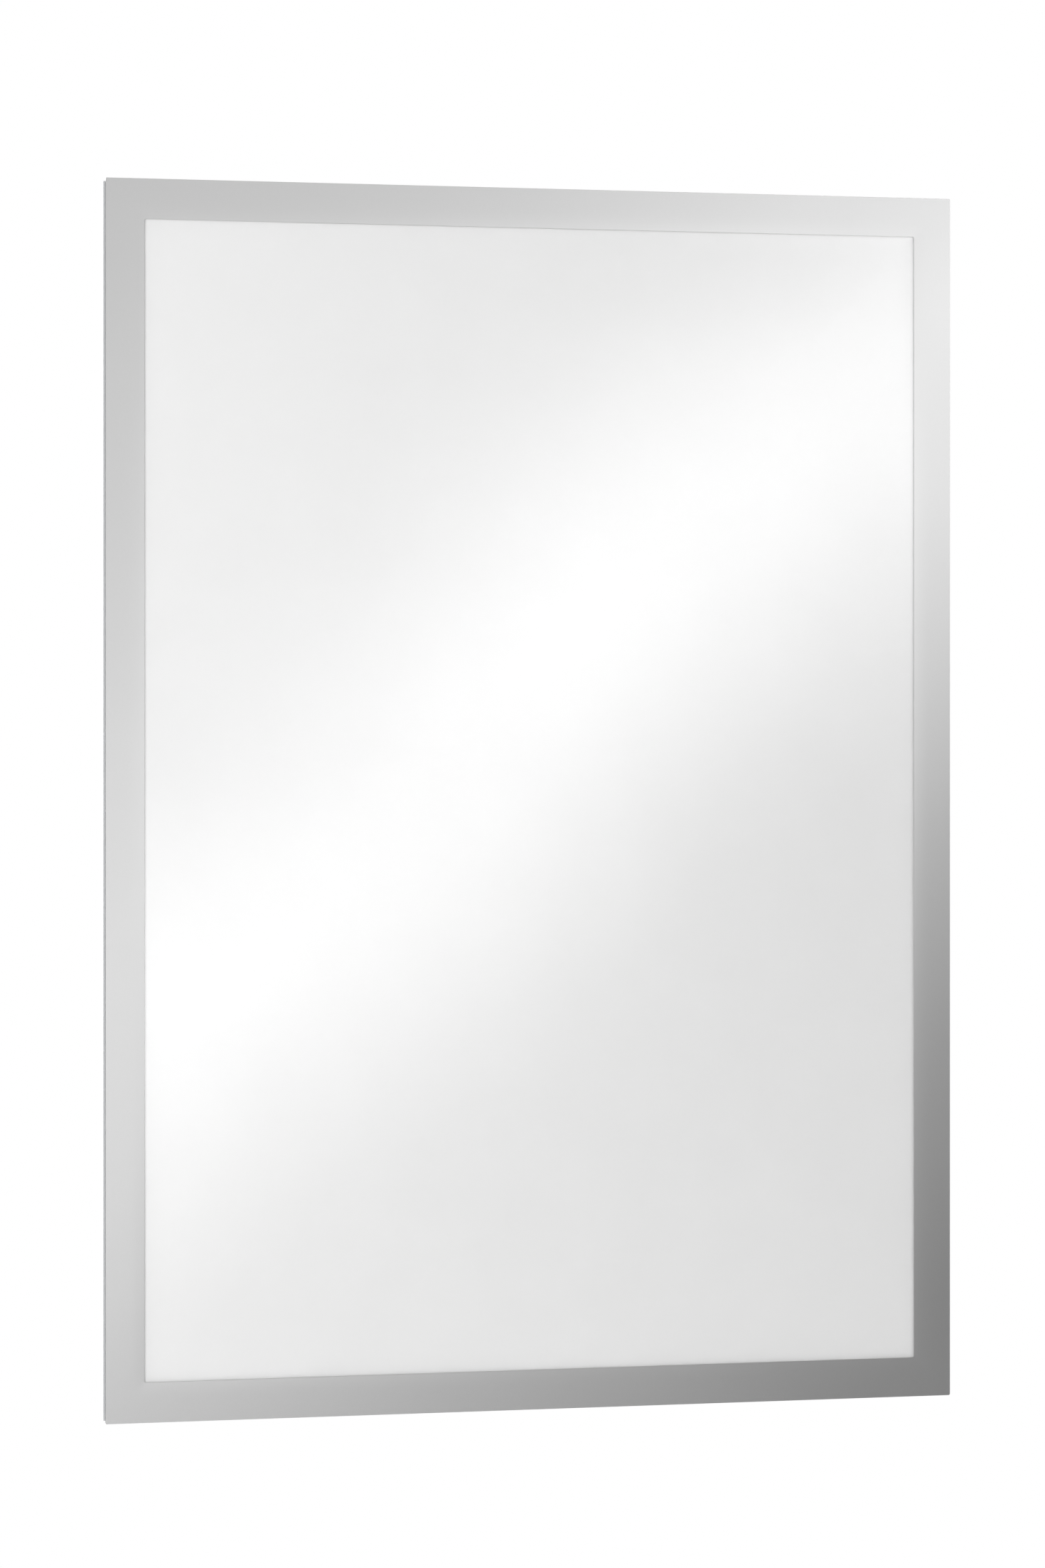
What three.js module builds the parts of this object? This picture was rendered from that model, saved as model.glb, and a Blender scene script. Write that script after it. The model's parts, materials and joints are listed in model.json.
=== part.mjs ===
import * as THREE from "three";

// A slim poster frame that sticks to a wall or a pane and holds one 50 x 70 cm sheet.
// A silver border film lies on a clear front film. Magnet strips under the border hold the front
// to matching strips on a clear back film, and a strip of hinge film joins the two on the left,
// so the front opens like the cover of a book.
// Millimetres, +Z up. The front faces -Y and the wall is the plane y = 0.
// The origin is the centre of the top adhesive strip's rear face.

// The sheet
const SHEET_WIDTH = 500;
const SHEET_HEIGHT = 700;
const SHEET_THICKNESS = 0.2;
const SHEET_OVERLAP = 4; // how much of each sheet edge the border hides
const SHEET_CLEARANCE = 1; // from the sheet's edges to the magnet strips

// Magnet strips, one ring of four on each film
const MAGNET_WIDTH = 18;
const MAGNET_THICKNESS = 0.6;
const MAGNET_JOINT_GAP = 0.5; // between two strips at a corner

// Films
const FRONT_FILM_THICKNESS = 0.3;
const BORDER_FILM_THICKNESS = 0.2;
const BACK_FILM_THICKNESS = 0.3;
const EDGE_MARGIN = 1; // from the front film's outer edge in to the magnet strips
const BACK_FILM_INSET = 1; // leaves the front an edge that a fingernail can lift
const OUTER_CORNER_RADIUS = 1;
const WINDOW_CORNER_RADIUS = 1;
const LIP_CORNER_RADIUS = 4; // where the border starts to drop towards the window
const LIP_DROP = 0.1; // how far the border slopes back on its way to the window's edge

// Hinge film, folded once, with a leaf between the left magnet strips
const HINGE_FILM_THICKNESS = 0.1;
const HINGE_BOND_WIDTH = 10; // how much of each magnet strip a leaf covers
const HINGE_REACH = 0.8; // from the front film's left edge out to the fold
const HINGE_END_MARGIN = 2; // from the front film's top and bottom edges
const LEAF_GAP = 0.1; // between the two leaves when the frame is shut

// Adhesive strips, centred behind the magnet strips
const TAPE_MARGIN = 1.5; // how much narrower they are than the magnet strips, on each side
const TAPE_THICKNESS = 0.3;
const TAPE_JOINT_GAP = 2; // between two strips at a corner

const GLUE_GAP = 0.05; // room for the glue between two layers
const CORNER_STEPS = 6; // straight steps in each rounded corner
const FOLD_STEPS = 8; // straight steps round the hinge film's fold

// Outline sizes that follow from the ones above
const MAGNET_INNER = EDGE_MARGIN + MAGNET_WIDTH; // measured in from the outer edge
const BORDER_WIDTH = MAGNET_INNER + SHEET_CLEARANCE + SHEET_OVERLAP;
const OUTER_WIDTH = SHEET_WIDTH + 2 * (MAGNET_INNER + SHEET_CLEARANCE);
const OUTER_HEIGHT = SHEET_HEIGHT + 2 * (MAGNET_INNER + SHEET_CLEARANCE);
const TAPE_WIDTH = MAGNET_WIDTH - 2 * TAPE_MARGIN;
const TAPE_INSET = EDGE_MARGIN + TAPE_MARGIN;
const CENTRE_Z = TAPE_INSET + TAPE_WIDTH / 2 - OUTER_HEIGHT / 2;

// A layer's rear and front depth, counted forwards from the wall
function layer(rear, thickness) {
  return { rear, front: rear + thickness, thickness };
}

const TAPE = layer(0, TAPE_THICKNESS);
const BACK_FILM = layer(TAPE.front + GLUE_GAP, BACK_FILM_THICKNESS);
const SHEET = layer(BACK_FILM.front + GLUE_GAP, SHEET_THICKNESS);
const REAR_MAGNET = layer(BACK_FILM.front + GLUE_GAP, MAGNET_THICKNESS);
const REAR_LEAF = layer(REAR_MAGNET.front + GLUE_GAP, HINGE_FILM_THICKNESS);
const FRONT_LEAF = layer(REAR_LEAF.front + LEAF_GAP, HINGE_FILM_THICKNESS);
const FRONT_MAGNET = layer(FRONT_LEAF.front + GLUE_GAP, MAGNET_THICKNESS);
const FRONT_FILM = layer(FRONT_MAGNET.front + GLUE_GAP, FRONT_FILM_THICKNESS);
const BORDER_FILM = layer(FRONT_FILM.front + GLUE_GAP, BORDER_FILM_THICKNESS);

// The fold of the hinge film is also the axis that the front turns about
const HINGE_X = -OUTER_WIDTH / 2 - HINGE_REACH;
const HINGE_DEPTH = (REAR_LEAF.front + FRONT_LEAF.rear) / 2;

const CLEAR_FILM = new THREE.MeshStandardMaterial({
  color: 0xf4f6f7,
  roughness: 0.12,
  metalness: 0,
  transparent: true,
  opacity: 0.3,
});
const SILVER = new THREE.MeshStandardMaterial({ color: 0xc4c6c9, roughness: 0.38, metalness: 0.85 });
const MAGNET = new THREE.MeshStandardMaterial({ color: 0x2b2624, roughness: 0.7, metalness: 0 });
const ADHESIVE = new THREE.MeshStandardMaterial({ color: 0xe6e4dc, roughness: 0.5, metalness: 0 });
const PAPER = new THREE.MeshStandardMaterial({ color: 0xf7f7f5, roughness: 0.85, metalness: 0 });
const HINGE_PLASTIC = new THREE.MeshStandardMaterial({ color: 0xb4b6b9, roughness: 0.4, metalness: 0 });

function namedMesh(name, geometry, material) {
  const mesh = new THREE.Mesh(geometry, material);
  mesh.name = name;
  return mesh;
}

// Points round a rounded rectangle, counter-clockwise as the viewer in front sees them.
// inset is measured in from the front film's outer edge.
function roundedLoop(inset, radius, depth) {
  const centreX = OUTER_WIDTH / 2 - inset - radius;
  const centreZ = OUTER_HEIGHT / 2 - inset - radius;
  const corners = [[1, -1], [1, 1], [-1, 1], [-1, -1]];
  const points = [];
  corners.forEach(([sideX, sideZ], quarter) => {
    for (let step = 0; step <= CORNER_STEPS; step += 1) {
      const angle = (quarter - 1 + step / CORNER_STEPS) * (Math.PI / 2);
      const x = sideX * centreX + radius * Math.cos(angle);
      const z = CENTRE_Z + sideZ * centreZ + radius * Math.sin(angle);
      points.push([x, -depth, z]);
    }
  });
  return points;
}

// A closed body through a row of loops that have equally many points. It is either a ring, whose
// last loop joins its first, or a plate, whose first loop is filled at the rear and last in front.
function loopBody(loops, isRing) {
  const count = loops[0].length;
  const triangles = [];
  const bands = isRing ? loops.length : loops.length - 1;
  for (let band = 0; band < bands; band += 1) {
    const here = band * count;
    const next = ((band + 1) % loops.length) * count;
    for (let point = 0; point < count; point += 1) {
      const following = (point + 1) % count;
      triangles.push(here + point, here + following, next + following);
      triangles.push(here + point, next + following, next + point);
    }
  }
  if (!isRing) {
    const front = (loops.length - 1) * count;
    for (let point = 1; point < count - 1; point += 1) {
      triangles.push(0, point + 1, point);
      triangles.push(front, front + point, front + point + 1);
    }
  }
  const geometry = new THREE.BufferGeometry();
  geometry.setAttribute("position", new THREE.Float32BufferAttribute(loops.flat(2), 3));
  geometry.setIndex(triangles);
  geometry.computeVertexNormals();
  return geometry;
}

// The clear front film: flat over the magnet strips, then down to the window's lower level
function frontFilmGeometry() {
  const { rear, front } = FRONT_FILM;
  return loopBody([
    roundedLoop(BORDER_WIDTH, WINDOW_CORNER_RADIUS, rear - LIP_DROP),
    roundedLoop(MAGNET_INNER, LIP_CORNER_RADIUS, rear),
    roundedLoop(0, OUTER_CORNER_RADIUS, rear),
    roundedLoop(0, OUTER_CORNER_RADIUS, front),
    roundedLoop(MAGNET_INNER, LIP_CORNER_RADIUS, front),
    roundedLoop(BORDER_WIDTH, WINDOW_CORNER_RADIUS, front - LIP_DROP),
  ], false);
}

// The silver border film follows the front film down to the edge of the window
function borderGeometry() {
  const { rear, front } = BORDER_FILM;
  return loopBody([
    roundedLoop(0, OUTER_CORNER_RADIUS, rear),
    roundedLoop(0, OUTER_CORNER_RADIUS, front),
    roundedLoop(MAGNET_INNER, LIP_CORNER_RADIUS, front),
    roundedLoop(BORDER_WIDTH, WINDOW_CORNER_RADIUS, front - LIP_DROP),
    roundedLoop(BORDER_WIDTH, WINDOW_CORNER_RADIUS, rear - LIP_DROP),
    roundedLoop(MAGNET_INNER, LIP_CORNER_RADIUS, rear),
  ], true);
}

function backFilmGeometry() {
  const { rear, front } = BACK_FILM;
  return loopBody([
    roundedLoop(BACK_FILM_INSET, OUTER_CORNER_RADIUS, rear),
    roundedLoop(BACK_FILM_INSET, OUTER_CORNER_RADIUS, front),
  ], false);
}

// A flat box from its middle and its size in X and Z, filling one layer
function layerBox(name, centreX, centreZ, width, height, { rear, thickness }, material) {
  const mesh = namedMesh(name, new THREE.BoxGeometry(width, thickness, height), material);
  mesh.position.set(centreX, -(rear + thickness / 2), centreZ);
  return mesh;
}

// Four strips in a rectangle. The side strips run the full height, and the top and bottom
// strips fit between them.
function stripRing(name, inset, width, jointGap, stripLayer, material) {
  const ringWidth = OUTER_WIDTH - 2 * inset;
  const ringHeight = OUTER_HEIGHT - 2 * inset;
  const sideX = (ringWidth - width) / 2;
  const endZ = (ringHeight - width) / 2;
  const endLength = ringWidth - 2 * (width + jointGap);
  return [
    layerBox(`${name}_top`, 0, CENTRE_Z + endZ, endLength, width, stripLayer, material),
    layerBox(`${name}_bottom`, 0, CENTRE_Z - endZ, endLength, width, stripLayer, material),
    layerBox(`${name}_left`, -sideX, CENTRE_Z, width, ringHeight, stripLayer, material),
    layerBox(`${name}_right`, sideX, CENTRE_Z, width, ringHeight, stripLayer, material),
  ];
}

// The hinge film's section is a U that lies on its side, with its fold at the left
function hingeFilm() {
  const leafEndX = -OUTER_WIDTH / 2 + EDGE_MARGIN + HINGE_BOND_WIDTH;
  const outerRadius = FRONT_LEAF.front - HINGE_DEPTH;
  const innerRadius = FRONT_LEAF.rear - HINGE_DEPTH;
  const quarter = Math.PI / 2;
  const section = new THREE.Shape();
  section.moveTo(leafEndX, -REAR_LEAF.rear);
  section.absarc(HINGE_X, -HINGE_DEPTH, outerRadius, quarter, 3 * quarter, false);
  section.lineTo(leafEndX, -FRONT_LEAF.front);
  section.lineTo(leafEndX, -FRONT_LEAF.rear);
  section.absarc(HINGE_X, -HINGE_DEPTH, innerRadius, 3 * quarter, quarter, true);
  section.lineTo(leafEndX, -REAR_LEAF.front);
  section.closePath();
  const length = OUTER_HEIGHT - 2 * HINGE_END_MARGIN;
  const geometry = new THREE.ExtrudeGeometry(section, {
    depth: length,
    bevelEnabled: false,
    curveSegments: FOLD_STEPS,
  });
  const mesh = namedMesh("hinge_film", geometry, HINGE_PLASTIC);
  mesh.position.z = CENTRE_Z - length / 2;
  return mesh;
}

// What stays on the wall
const rearFrame = new THREE.Group();
rearFrame.name = "rear_frame";
rearFrame.add(
  ...stripRing("adhesive_strip", TAPE_INSET, TAPE_WIDTH, TAPE_JOINT_GAP, TAPE, ADHESIVE),
  namedMesh("back_film", backFilmGeometry(), CLEAR_FILM),
  layerBox("poster_sheet", 0, CENTRE_Z, SHEET_WIDTH, SHEET_HEIGHT, SHEET, PAPER),
  ...stripRing("rear_magnet", EDGE_MARGIN, MAGNET_WIDTH, MAGNET_JOINT_GAP, REAR_MAGNET, MAGNET),
  hingeFilm(),
);

// What swings open about the hinge film's fold
const frontFrame = new THREE.Group();
frontFrame.name = "front_frame";
frontFrame.add(
  ...stripRing("front_magnet", EDGE_MARGIN, MAGNET_WIDTH, MAGNET_JOINT_GAP, FRONT_MAGNET, MAGNET),
  namedMesh("front_film", frontFilmGeometry(), CLEAR_FILM),
  namedMesh("silver_border", borderGeometry(), SILVER),
);

const posterFrame = new THREE.Group();
posterFrame.name = "poster_frame";
posterFrame.add(rearFrame, frontFrame);

export default posterFrame;
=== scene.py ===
import json
import math

import bpy
from mathutils import Matrix, Vector

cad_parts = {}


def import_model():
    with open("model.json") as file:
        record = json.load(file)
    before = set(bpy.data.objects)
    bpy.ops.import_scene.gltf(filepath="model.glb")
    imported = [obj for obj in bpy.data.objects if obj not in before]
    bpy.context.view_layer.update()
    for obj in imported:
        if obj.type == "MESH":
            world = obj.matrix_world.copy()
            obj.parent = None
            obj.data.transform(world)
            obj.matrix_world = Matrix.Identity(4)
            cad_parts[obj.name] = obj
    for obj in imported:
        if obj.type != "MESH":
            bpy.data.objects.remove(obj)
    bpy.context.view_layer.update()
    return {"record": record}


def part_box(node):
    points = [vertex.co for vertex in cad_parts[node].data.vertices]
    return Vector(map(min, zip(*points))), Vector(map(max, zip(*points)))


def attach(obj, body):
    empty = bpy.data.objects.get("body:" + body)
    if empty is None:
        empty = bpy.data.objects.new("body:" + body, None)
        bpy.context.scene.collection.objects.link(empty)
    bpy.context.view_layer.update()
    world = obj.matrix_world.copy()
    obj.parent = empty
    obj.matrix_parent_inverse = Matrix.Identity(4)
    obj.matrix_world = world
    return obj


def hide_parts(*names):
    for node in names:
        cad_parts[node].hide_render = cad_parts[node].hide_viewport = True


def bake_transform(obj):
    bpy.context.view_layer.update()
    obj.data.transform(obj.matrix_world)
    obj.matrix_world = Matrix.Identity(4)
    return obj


# The looks of a slim poster frame, in metres. The wall is the plane y = 0, the front faces -Y
# and +Z is up. Sizes and places come from the loaded frame wherever it has them.

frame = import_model()
MM = 0.001

REAR, FRONT = "rear_frame", "front_frame"
SIDES = ("top", "bottom", "left", "right")

# The outline that the borders and films are inset from
FILM_LOW, FILM_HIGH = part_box("front_film")
CENTRE = (FILM_LOW + FILM_HIGH) / 2
HALF_WIDTH = (FILM_HIGH.x - FILM_LOW.x) / 2
HALF_HEIGHT = (FILM_HIGH.z - FILM_LOW.z) / 2

# The border and its roll down to the window
BORDER_LOW, BORDER_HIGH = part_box("silver_border")
BORDER_WIDTH = 24 * MM
BORDER_FILM = 0.2 * MM  # thickness
LIP_DROP = BORDER_HIGH.y - BORDER_LOW.y - BORDER_FILM
LIP_WIDTH = 9 * MM  # from the window's edge out to where the roll starts
LIP_STEPS = 12

# Roundings
OUTER_RADIUS = 1 * MM
WINDOW_RADIUS = 1 * MM
LIP_RADIUS = 4 * MM  # of the corners where the roll starts
SHEET_RADIUS = 0.3 * MM
RIM = 0.05 * MM  # how far a film's cut edge is broken
CORNER_STEPS = 8

# The rings of points across a sheet or film
SIDE_STEP = 20 * MM  # between the points along a straight side
RING_STEP = 12 * MM  # from ring to ring
RING_RADIUS = 0.5 * MM  # of the corners of the rings in the window
INNERMOST = 1 * MM  # half the width of the innermost ring, which one face covers

# The cut strips: how round their edges are, and how far their long sides wander in
MAGNET_ROUNDING = 0.12 * MM
MAGNET_WANDER = 0.05 * MM
TAPE_ROUNDING = 0.1 * MM
TAPE_WANDER = 0.2 * MM
WANDER_LENGTH = 37 * MM  # along the strip for one radian of its wandering
STRIP_CORNER_STEPS = 3

# The hinge film
HINGE_FILM = 0.1 * MM  # thickness
FOLD_STEPS = 12

# How far the sheet and the films swell out of flat. Each swells towards its free side, forwards
# where its value is negative and towards the wall where it is positive.
WINDOW_SWELL = -0.3 * MM
SHEET_SWELL = -0.28 * MM
BACK_SWELL = 0.1 * MM
SWELL_EDGE = 70 * MM  # the swelling fades out over this much along each edge

# The swelling is a broad wave and a slanting one on top of an even half. A length is for one
# radian of its wave, and a phase is the wave's angle at the frame's centre.
BROAD_SHARE = 0.3
BROAD_LENGTH_X = 86 * MM
BROAD_LENGTH_Z = 117 * MM
BROAD_PHASE_X = 0.7
BROAD_PHASE_Z = 0.4
SLANTING_SHARE = 0.2
SLANTING_LENGTH_X = 61 * MM
SLANTING_LENGTH_Z = 74 * MM
SLANTING_PHASE = 1.1

WHITE = (1, 1, 1, 1)


# Shader helpers


def material(name):
    """A new material with an empty node tree, and that tree."""
    made = bpy.data.materials.new(name)
    made.use_nodes = True
    made.node_tree.nodes.clear()
    return made, made.node_tree


def add(tree, kind, settings=None, **inputs):
    """A node with its settings and input values. An input that is a socket is linked."""
    node = tree.nodes.new(kind)
    for key, value in (settings or {}).items():
        setattr(node, key, value)
    for key, value in inputs.items():
        socket = node.inputs[key.replace("_", " ")]
        if isinstance(value, bpy.types.NodeSocket):
            tree.links.new(value, socket)
        else:
            socket.default_value = value
    return node


def surface(tree, shader):
    add(tree, "ShaderNodeOutputMaterial", Surface=shader)


def calculate(tree, operation, *values):
    """The result of a Math node. Each value is a number or a socket."""
    node = add(tree, "ShaderNodeMath", {"operation": operation})
    for socket, value in zip(node.inputs, values):
        if isinstance(value, bpy.types.NodeSocket):
            tree.links.new(value, socket)
        else:
            socket.default_value = value
    return node.outputs["Value"]


def blended(tree, share, first, second):
    """A shader that goes from first to second as share goes from 0 to 1."""
    node = add(tree, "ShaderNodeMixShader", Fac=share)
    tree.links.new(first, node.inputs[1])
    tree.links.new(second, node.inputs[2])
    return node.outputs["Shader"]


def place_at(tree, stretch=(1, 1, 1)):
    """The surface point in the frame's own metres, with each axis multiplied by stretch."""
    point = add(tree, "ShaderNodeTexCoord").outputs["Object"]
    return add(tree, "ShaderNodeMapping", Vector=point, Scale=stretch).outputs["Vector"]


def noise(tree, place, scale, detail=2.0, roughness=0.5):
    """Noise from 0 to 1 with scale lumps to the metre."""
    made = add(
        tree, "ShaderNodeTexNoise",
        Vector=place, Scale=scale, Detail=detail, Roughness=roughness,
    )
    return made.outputs["Fac"]


def spread(tree, value, low, high, start=0.0, end=1.0):
    """value, from start to end, spread over low to high."""
    made = add(tree, "ShaderNodeMapRange", Value=value)
    for key, number in (("From Min", start), ("From Max", end), ("To Min", low), ("To Max", high)):
        made.inputs[key].default_value = number
    return made.outputs["Result"]


def between(tree, value, dark, light):
    """A colour from dark to light as value goes from 0 to 1."""
    made = add(tree, "ShaderNodeMix", {"data_type": "RGBA"}, Factor=value)
    made.inputs["A"].default_value = (*dark, 1)
    made.inputs["B"].default_value = (*light, 1)
    return made.outputs["Result"]


def bump(tree, height, depth, strength=1.0):
    """A normal that follows height, which stands for depth metres."""
    made = add(tree, "ShaderNodeBump", Height=height, Distance=depth, Strength=strength)
    return made.outputs["Normal"]


def principled(tree, **inputs):
    surface(tree, add(tree, "ShaderNodeBsdfPrincipled", **inputs).outputs["BSDF"])


# Materials


def silver_print():
    """Satin silver ink on film: even from a step away, with very fine flakes close up."""
    made, tree = material("silver_film")
    place = place_at(tree)
    flakes = noise(tree, place, scale=4200, detail=1.0)
    clouds = noise(tree, place, scale=7, detail=3.0)
    principled(
        tree,
        Base_Color=between(tree, flakes, dark=(0.60, 0.60, 0.60), light=(0.72, 0.72, 0.72)),
        Metallic=1.0,
        Roughness=spread(tree, clouds, low=0.33, high=0.37),
        Normal=bump(tree, flakes, depth=0.004 * MM, strength=0.3),
    )
    return made


def silver_cut_and_edge_shade():
    """The silver film's cut edge, painted mid grey: partly its grey core, partly painted shade for the
    dark line along the window's edge.
    """
    made, tree = material("silver_film_cut_and_edge_shade")
    nicks = noise(tree, place_at(tree), scale=1200)
    principled(
        tree,
        # Painted shade: the cut's dark grey also stands in for the shadow line along the window's edge
        Base_Color=between(tree, nicks, dark=(0.30, 0.30, 0.30), light=(0.44, 0.44, 0.44)),
        Roughness=spread(tree, nicks, low=0.45, high=0.65),
    )
    return made


def clear_film():
    """Clear gloss film. What shows is what lies behind it and the gloss of its surface."""
    made, tree = material("clear_film")
    waves = noise(tree, place_at(tree), scale=11, detail=1.0)
    normal = bump(tree, waves, depth=0.05 * MM)
    facing = add(tree, "ShaderNodeLayerWeight", Blend=0.5, Normal=normal).outputs["Facing"]
    grazing = calculate(tree, "POWER", facing, 5)
    see = add(tree, "ShaderNodeBsdfTransparent", Color=(0.973, 0.973, 0.973, 1))
    gloss = add(tree, "ShaderNodeBsdfGlossy", Color=WHITE, Roughness=0.13, Normal=normal)
    reflected = spread(tree, grazing, low=0.054, high=1.0)
    surface(tree, blended(tree, reflected, see.outputs["BSDF"], gloss.outputs["BSDF"]))
    return made


def poster_paper():
    """Plain white uncoated paper."""
    made, tree = material("paper")
    place = place_at(tree)
    fibres = noise(tree, place, scale=1500, detail=4.0, roughness=0.65)
    clouds = noise(tree, place, scale=22, detail=3.0)
    principled(
        tree,
        Base_Color=between(tree, clouds, dark=(0.805, 0.805, 0.805), light=(0.835, 0.835, 0.835)),
        Roughness=spread(tree, fibres, low=0.8, high=0.95),
        Normal=bump(tree, fibres, depth=0.006 * MM, strength=0.5),
    )
    return made


def magnetic_rubber(name, stretch):
    """Dark brown magnetic rubber, whose rollers leave fine lines along it.

    stretch is small for the axis that the lines run along, which draws them out.
    """
    made, tree = material(name)
    lines = noise(tree, place_at(tree, stretch), scale=1400)
    grain = noise(tree, place_at(tree), scale=2400, detail=3.0, roughness=0.6)
    principled(
        tree,
        Base_Color=between(tree, grain, dark=(0.030, 0.026, 0.023), light=(0.056, 0.049, 0.044)),
        Roughness=spread(tree, lines, low=0.5, high=0.72),
        Normal=bump(tree, lines, depth=0.02 * MM, strength=0.6),
    )
    return made


def adhesive_tape():
    """Milky double-sided tape, with the fine dimples that its liner has left."""
    made, tree = material("adhesive")
    place = place_at(tree)
    dimples = add(tree, "ShaderNodeTexVoronoi", Vector=place, Scale=700).outputs["Distance"]
    clouds = noise(tree, place, scale=60, detail=3.0)
    principled(
        tree,
        Base_Color=between(tree, clouds, dark=(0.68, 0.67, 0.62), light=(0.80, 0.79, 0.74)),
        Roughness=spread(tree, clouds, low=0.26, high=0.42),
        Normal=bump(tree, dimples, depth=0.03 * MM, strength=0.5),
    )
    return made


def hinge_plastic():
    """Soft silver-grey plastic with faint creases along the fold and a fine leather-like grain."""
    made, tree = material("hinge_film")
    creases = noise(tree, place_at(tree, stretch=(1, 1, 0.03)), scale=700)
    grain = noise(tree, place_at(tree), scale=2600, roughness=0.6)
    principled(
        tree,
        Base_Color=between(tree, grain, dark=(0.40, 0.41, 0.42), light=(0.50, 0.51, 0.52)),
        Roughness=spread(tree, creases, low=0.34, high=0.5),
        Normal=bump(tree, creases, depth=0.02 * MM, strength=0.6),
    )
    return made


# Mesh helpers


def smoothstep(value):
    value = min(max(value, 0.0), 1.0)
    return value * value * (3 - 2 * value)


def steps(start, end, count):
    """count + 1 even values from start to end, both included."""
    return [start + (end - start) * step / count for step in range(count + 1)]


def mesh_piece(name, points, faces, body, nodes, materials, sharp_degrees=35):
    """A smooth-shaded mesh that rides on body, has the given materials and stands for nodes."""
    data = bpy.data.meshes.new(name)
    data.from_pydata(points, [], faces)
    for made in materials:
        data.materials.append(made)
    data.shade_smooth()
    data.set_sharp_from_angle(angle=math.radians(sharp_degrees))
    data.update()
    piece = bpy.data.objects.new(name, data)
    bpy.context.scene.collection.objects.link(piece)
    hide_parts(*nodes)
    if body:
        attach(piece, body)
    return piece


def loop(inset, radius, y):
    """Points round a rounded rectangle, counter-clockwise from the front's view.

    inset is measured in from the front film's outer edge. The straight sides have points too,
    so that a sheet can swell between them.
    """
    reach_x = HALF_WIDTH - inset - radius
    reach_z = HALF_HEIGHT - inset - radius
    side_counts = (round(HALF_HEIGHT * 2 / SIDE_STEP), round(HALF_WIDTH * 2 / SIDE_STEP))
    corners = ((1, -1), (1, 1), (-1, 1), (-1, -1))
    points = []
    for quarter, (side_x, side_z) in enumerate(corners):
        middle = Vector((CENTRE.x + side_x * reach_x, y, CENTRE.z + side_z * reach_z))
        for step in range(CORNER_STEPS + 1):
            angle = (quarter - 1 + step / CORNER_STEPS) * math.pi / 2
            points.append(middle + radius * Vector((math.cos(angle), 0, math.sin(angle))))
        next_x, next_z = corners[(quarter + 1) % 4]
        outward = Vector((math.cos(quarter * math.pi / 2), 0, math.sin(quarter * math.pi / 2)))
        start = middle + radius * outward
        end = Vector((CENTRE.x + next_x * reach_x, y, CENTRE.z + next_z * reach_z)) + radius * outward
        count = side_counts[quarter % 2]
        points += [start.lerp(end, step / count) for step in range(1, count)]
    return points


def skin(loops, closed):
    """Points and faces that join each loop to the next.

    A closed skin also joins the last loop to the first. An open one gets a face over its
    first loop and one over its last.
    """
    count = len(loops[0])
    points = [point for points in loops for point in points]
    faces = []
    for band in range(len(loops) if closed else len(loops) - 1):
        here = band * count
        following = (band + 1) % len(loops) * count
        for i in range(count):
            j = (i + 1) % count
            faces.append((here + i, here + j, following + j, following + i))
    if not closed:
        faces.append(tuple(reversed(range(count))))
        faces.append(tuple(range(len(points) - count, len(points))))
    return points, faces


def swelling(point, inset):
    """How far a sheet held at its edges swells at a point, from 0 to 1."""
    x = point.x - CENTRE.x
    z = point.z - CENTRE.z
    broad_x = math.sin(x / BROAD_LENGTH_X + BROAD_PHASE_X)
    broad_z = math.sin(z / BROAD_LENGTH_Z + BROAD_PHASE_Z)
    slanting = math.sin(x / SLANTING_LENGTH_X + z / SLANTING_LENGTH_Z + SLANTING_PHASE)
    from_edge = min(HALF_WIDTH - inset - abs(x), HALF_HEIGHT - inset - abs(z))
    waving = 0.5 + BROAD_SHARE * broad_x * broad_z + SLANTING_SHARE * slanting
    return waving * smoothstep(from_edge / SWELL_EDGE)


def swollen(points, inset, height):
    return [point + Vector((0, height * swelling(point, inset), 0)) for point in points]


def inner_insets(inset):
    """Insets of the rings that fill a sheet, from its middle out to inset."""
    deepest = HALF_WIDTH - INNERMOST
    return steps(deepest, inset, round((deepest - inset) / RING_STEP))


# Pieces

SILVER = silver_print()
SILVER_CUT_AND_EDGE_SHADE = silver_cut_and_edge_shade()
FILM = clear_film()
PAPER = poster_paper()
MAGNET_UPRIGHT = magnetic_rubber("magnet_upright", stretch=(1, 1, 0.01))
MAGNET_LEVEL = magnetic_rubber("magnet_level", stretch=(0.01, 1, 1))
TAPE = adhesive_tape()
HINGE = hinge_plastic()


def lip_loops(y, stop):
    """Loops over the border's roll, from where it starts in to the inset stop, from level y."""
    start = BORDER_WIDTH - LIP_WIDTH
    loops = []
    for inset in steps(start, stop, LIP_STEPS):
        share = (inset - start) / LIP_WIDTH
        radius = LIP_RADIUS + (WINDOW_RADIUS - LIP_RADIUS) * share
        loops.append(loop(inset, radius, y + LIP_DROP * share * share))
    return loops


def silver_border():
    """The border's film, which rolls down to the window. Its cut there is dark grey, partly its core
    and partly painted shade.
    """
    front = BORDER_LOW.y
    rear = front + BORDER_FILM
    face = lip_loops(front, BORDER_WIDTH - RIM)
    under = lip_loops(rear, BORDER_WIDTH)
    edge = loop(BORDER_WIDTH, WINDOW_RADIUS, front + LIP_DROP + RIM)
    loops = [
        loop(0, OUTER_RADIUS, rear),
        loop(0, OUTER_RADIUS, front + RIM),
        loop(RIM, OUTER_RADIUS, front),
        *face,
        edge,
        *reversed(under),
    ]
    points, faces = skin(loops, closed=True)
    materials = [SILVER, SILVER_CUT_AND_EDGE_SHADE]
    piece = mesh_piece(
        "border", points, faces, FRONT, ["silver_border"], materials,
        sharp_degrees=12,
    )
    # The cut faces get the dark grey of the core, which is also painted shade along the window's edge
    count = len(edge)
    cut_from = loops.index(edge) * count
    for index in range(cut_from, cut_from + count):
        piece.data.polygons[index].material_index = materials.index(SILVER_CUT_AND_EDGE_SHADE)


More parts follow.
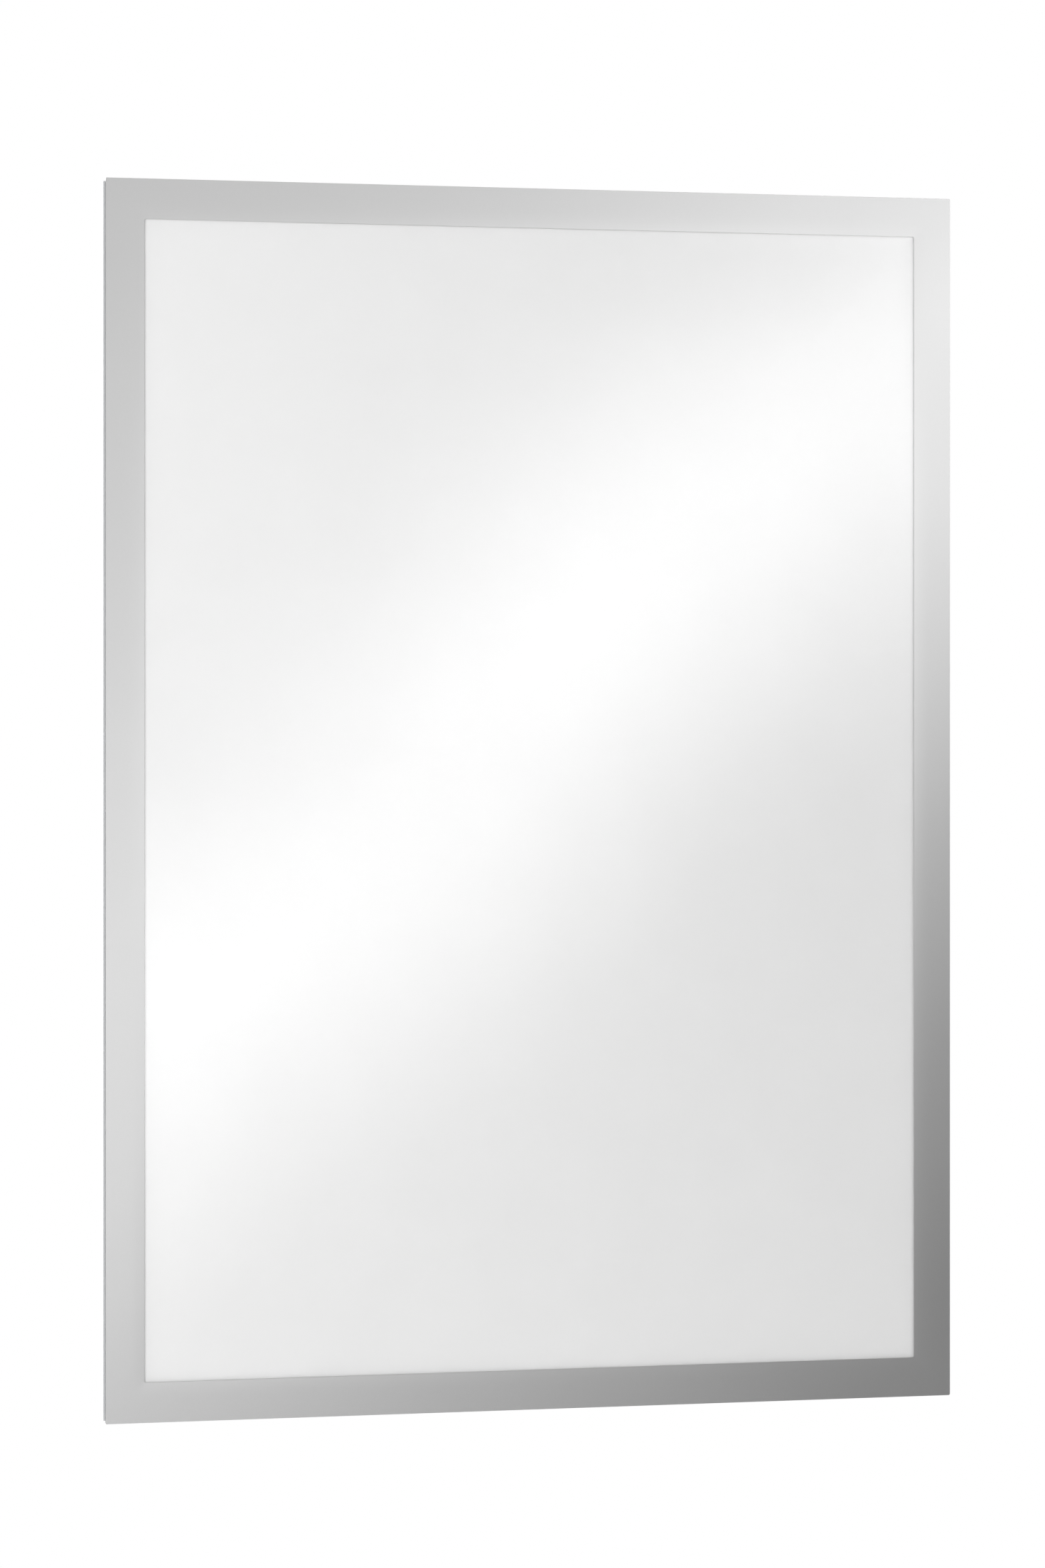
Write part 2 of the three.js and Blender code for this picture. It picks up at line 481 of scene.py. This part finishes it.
def front_film():
    """The clear film over the whole front, which follows the border's roll into the window."""
    rear = FILM_HIGH.y
    front = FILM_LOW.y
    insets = inner_insets(BORDER_WIDTH)[:-1]

    def face(y):
        window = y + LIP_DROP
        filled = [swollen(loop(at, RING_RADIUS, window), BORDER_WIDTH, WINDOW_SWELL) for at in insets]
        return filled + list(reversed(lip_loops(y, BORDER_WIDTH)))

    loops = [
        *face(rear),
        loop(0, OUTER_RADIUS, rear),
        loop(0, OUTER_RADIUS, front + RIM),
        loop(RIM, OUTER_RADIUS, front),
        *reversed(face(front)),
    ]
    points, faces = skin(loops, closed=False)
    mesh_piece("window_film", points, faces, FRONT, ["front_film"], [FILM])


def flat_sheet(name, node, radius, height, made):
    """A sheet of film or paper that swells out of flat by up to height."""
    low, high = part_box(node)
    inset = HALF_WIDTH - (high.x - low.x) / 2
    insets = inner_insets(inset)[:-1]

    def face(y):
        return [swollen(loop(at, radius, y), inset, height) for at in insets]

    loops = [
        *face(high.y),
        loop(inset, radius, high.y),
        loop(inset, radius, low.y),
        *reversed(face(low.y)),
    ]
    points, faces = skin(loops, closed=False)
    mesh_piece(name, points, faces, REAR, [node], [made])


def strip(name, node, body, made, rounding, wander):
    """A cut strip with rounded edges, whose long sides wander in by up to wander."""
    low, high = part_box(node)
    size = high - low
    upright = size.z > size.x
    length, width = (size.z, size.x) if upright else (size.x, size.z)
    middle = (low + high) / 2
    half_depth = size.y / 2
    phase = length / MM  # long and short strips wander differently
    near_end = rounding / 2
    between_ends = steps(0, length, round(length / SIDE_STEP))[1:-1]
    loops = []
    for along in (0, near_end, *between_ends, length - near_end, length):
        from_end = min(along, length - along)
        shrink = rounding * (1 - smoothstep(from_end / rounding)) / 2
        drawn = wander * (0.5 + 0.5 * math.sin(along / WANDER_LENGTH + phase))
        section = []
        for corner in range(4):
            side = 1 if corner in (0, 3) else -1
            face = 1 if corner in (0, 1) else -1
            for step in range(STRIP_CORNER_STEPS + 1):
                angle = (corner + step / STRIP_CORNER_STEPS) * math.pi / 2
                across = side * (width / 2 - rounding - shrink - drawn) + rounding * math.cos(angle)
                depth = face * (half_depth - rounding) + (rounding - shrink) * math.sin(angle)
                section.append((across, depth))
        position = along - length / 2
        if upright:
            loops.append([middle + Vector((a, d, position)) for a, d in section])
        else:
            loops.append([middle + Vector((position, d, -a)) for a, d in section])
    points, faces = skin(loops, closed=False)
    mesh_piece(name, points, faces, body, [node], [made], sharp_degrees=50)


def hinge():
    """One piece of film, folded between the left magnet strips."""
    low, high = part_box("hinge_film")
    joint = frame["record"]["behaviour"]["joints"][0]
    axis = Vector(joint["pos_m"])
    outer = high.y - axis.y
    inner = outer - HINGE_FILM
    arc = [math.pi * (0.5 + step / FOLD_STEPS) for step in range(FOLD_STEPS + 1)]
    outside = [(high.x, axis.y + outer)]
    outside += [(axis.x + outer * math.cos(a), axis.y + outer * math.sin(a)) for a in arc]
    outside += [(high.x, axis.y - outer)]
    inside = [(high.x, axis.y - inner)]
    inside += [(axis.x + inner * math.cos(a), axis.y + inner * math.sin(a)) for a in reversed(arc)]
    inside += [(high.x, axis.y + inner)]
    loops = []
    for z in steps(low.z, high.z, round((high.z - low.z) / SIDE_STEP)):
        loops.append([Vector((x, y, z)) for x, y in outside + inside])
    points, faces = skin(loops, closed=False)
    piece = mesh_piece(
        "hinge", points, faces, None, ["hinge_film"], [HINGE], sharp_degrees=50,
    )
    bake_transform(piece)


silver_border()
front_film()
flat_sheet("rear_film", "back_film", OUTER_RADIUS, BACK_SWELL, FILM)
flat_sheet("sheet", "poster_sheet", SHEET_RADIUS, SHEET_SWELL, PAPER)
for side in SIDES:
    rubber = MAGNET_UPRIGHT if side in ("left", "right") else MAGNET_LEVEL
    for name, body in (("rear", REAR), ("front", FRONT)):
        strip(
            f"magnet_{name}_{side}", f"{name}_magnet_{side}", body, rubber,
            MAGNET_ROUNDING, MAGNET_WANDER,
        )
    strip(
        f"tape_{side}", f"adhesive_strip_{side}", REAR, TAPE,
        TAPE_ROUNDING, TAPE_WANDER,
    )
hinge()


# Studio

# The camera is level and stands to the left of the frame
VIEW_FROM = Vector((-1.313, -3.895, 0.056))  # from the middle of the border's face
VIEW_TURN = math.radians(18.51)
FOCAL_LENGTH = 155.7  # mm
SENSOR_LENGTH = 36  # mm along the picture's long side
FRAMING_SHIFT = -0.0494  # downwards, as a share of the picture's long side

MIDDLE = Vector((CENTRE.x, 0, CENTRE.z))  # on the wall, behind the frame's centre
FLOOR_Z = -1.6  # the top adhesive strip hangs this far above the floor
FLOOR_REACH = 4.5  # it ends before the window mirrors it, because its mirror image turns grainy
FLOOR_FADE = (1.0, 4.0)  # how far from below the frame the fade to white starts and ends
FLOOR_GLOW = 0.55  # the white's share of the floor before it fades
FLOOR_GREY = (0.82, 0.82, 0.82, 1)
WORLD_RADIANCE = 0.114


def camera():
    data = bpy.data.cameras.new("camera")
    data.lens = FOCAL_LENGTH
    data.sensor_width = SENSOR_LENGTH
    data.shift_y = FRAMING_SHIFT
    made = bpy.data.objects.new("camera", data)
    made.location = Vector((CENTRE.x, BORDER_LOW.y, CENTRE.z)) + VIEW_FROM
    made.rotation_euler = (math.pi / 2, 0, -VIEW_TURN)
    bpy.context.scene.collection.objects.link(made)
    bpy.context.scene.camera = made


def soften(light, rise=0.0, sway=0.0, wavelength=1.0, phase=0.0):
    """Fades a light out towards its long edges, and brightens it by rise from end to end.

    The bright line along its middle waves by sway to each side. phase is the wave's angle at
    the light's first end.
    """
    light.use_nodes = True
    tree = light.node_tree
    tree.nodes.clear()
    on_light = add(tree, "ShaderNodeNewGeometry").outputs["Parametric"]
    shares = add(tree, "ShaderNodeSeparateXYZ", Vector=on_light)
    swept = math.tau * light.size / wavelength
    angle = spread(tree, shares.outputs["X"], low=phase, high=phase + swept)
    wave = calculate(tree, "MULTIPLY", calculate(tree, "SINE", angle), sway / light.size_y)
    centred = calculate(tree, "SUBTRACT", shares.outputs["Y"], 0.5)
    off_centre = calculate(tree, "ABSOLUTE", calculate(tree, "SUBTRACT", centred, wave))
    fade = add(tree, "ShaderNodeMapRange", {"interpolation_type": "SMOOTHSTEP"}, Value=off_centre)
    fade.inputs["From Min"].default_value = 0.5
    fade.inputs["From Max"].default_value = 0.0
    along = spread(tree, shares.outputs["X"], low=1 - rise / 2, high=1 + rise / 2)
    strength = calculate(tree, "MULTIPLY", fade.outputs["Result"], along)
    lit = add(tree, "ShaderNodeEmission", Strength=strength)
    add(tree, "ShaderNodeOutputLight", Surface=lit.outputs["Emission"])


def softbox(name, place, width, height, radiance, aim=None, turn=0.0, reflected=True, lights_matt=True):
    """A lit rectangle that faces aim, or else straight at the wall. Returns its light.

    turn turns it about the way that it faces. One that isn't reflected never burns out a glossy
    surface. One that doesn't light matt surfaces only shows in glossy ones.
    """
    if aim is None:
        aim = (place[0], 0, place[2])
    data = bpy.data.lights.new(name, "AREA")
    data.shape = "RECTANGLE"
    data.size = width
    data.size_y = height
    data.energy = radiance * math.pi * width * height
    made = bpy.data.objects.new(name, data)
    back = (Vector(place) - Vector(aim)).normalized()
    level = Vector((0, 0, 1)).cross(back).normalized()
    facing = Matrix((level, back.cross(level), back)).transposed()
    made.matrix_world = Matrix.Translation(place) @ (facing @ Matrix.Rotation(turn, 3, "Z")).to_4x4()
    made.visible_camera = False
    made.visible_glossy = reflected
    made.visible_diffuse = lights_matt
    bpy.context.scene.collection.objects.link(made)
    return data


def world():
    """Dim light from all round, with pure white behind the object."""
    made = bpy.data.worlds.new("studio")
    made.use_nodes = True
    tree = made.node_tree
    tree.nodes.clear()
    dim = add(tree, "ShaderNodeBackground", Color=WHITE, Strength=WORLD_RADIANCE)
    white = add(tree, "ShaderNodeBackground", Color=WHITE, Strength=1.0)
    seen = add(tree, "ShaderNodeLightPath").outputs["Is Camera Ray"]
    both = blended(tree, seen, dim.outputs["Background"], white.outputs["Background"])
    add(tree, "ShaderNodeOutputWorld", Surface=both)
    bpy.context.scene.world = made


def floor():
    """A pale floor that fades to the white of the backdrop."""
    corners = ((-1, -1), (1, -1), (1, 1), (-1, 1))
    points = [(x * FLOOR_REACH, y * FLOOR_REACH, FLOOR_Z) for x, y in corners]
    data = bpy.data.meshes.new("floor")
    data.from_pydata(points, [], [(0, 1, 2, 3)])
    made, tree = material("floor")
    matt = add(tree, "ShaderNodeBsdfDiffuse", Color=FLOOR_GREY)
    white = add(tree, "ShaderNodeEmission", Color=WHITE, Strength=1.0)
    distance = add(tree, "ShaderNodeVectorMath", {"operation": "LENGTH"})
    tree.links.new(place_at(tree, stretch=(1, 1, 0)), distance.inputs[0])
    fade_start, fade_end = FLOOR_FADE
    far = spread(
        tree, distance.outputs["Value"],
        low=FLOOR_GLOW, high=1, start=fade_start, end=fade_end,
    )
    seen = add(tree, "ShaderNodeLightPath").outputs["Is Camera Ray"]
    share = calculate(tree, "MULTIPLY", far, seen)
    surface(tree, blended(tree, share, matt.outputs["BSDF"], white.outputs["Emission"]))
    data.materials.append(made)
    piece = bpy.data.objects.new("floor", data)
    bpy.context.scene.collection.objects.link(piece)


camera()
world()
floor()

# The strip makes the bright diagonal on the window, and the left fill brightens the left side
slanting_strip = softbox(
    "slanting_strip", place=(0.476, -1.457, -0.307),
    width=2.53, height=0.49, radiance=2.29, turn=0.69,
)
soften(slanting_strip, rise=0.68, sway=0.024, wavelength=0.7, phase=0.99)
left_fill = softbox(
    "left_fill", place=(0.08, -1.488, -0.492),
    width=1.79, height=1.34, radiance=0.381, turn=1.853,
)
soften(left_fill)

# The panel lights the paper, and the card makes the border silvery from the right front
softbox(
    "left_panel", place=(-1.34, -2.29, -0.26), aim=MIDDLE,
    width=1.6, height=1.6, radiance=7.15, reflected=False,
)
softbox(
    "left_card", place=(-1.9, -1.7, -0.5), aim=MIDDLE,
    width=1.8, height=1.8, radiance=0.8, lights_matt=False,
)
softbox(
    "front_fill", place=(0.254, -1.481, 0.316), aim=MIDDLE,
    width=2.0, height=1.4, radiance=0.482,
)
softbox(
    "rear_fill", place=(-0.9, 2.4, 0.5), aim=MIDDLE,
    width=2.4, height=2.0, radiance=5.0,
)

bpy.context.scene.view_settings.view_transform = "Standard"
bpy.context.scene.view_settings.look = "None"
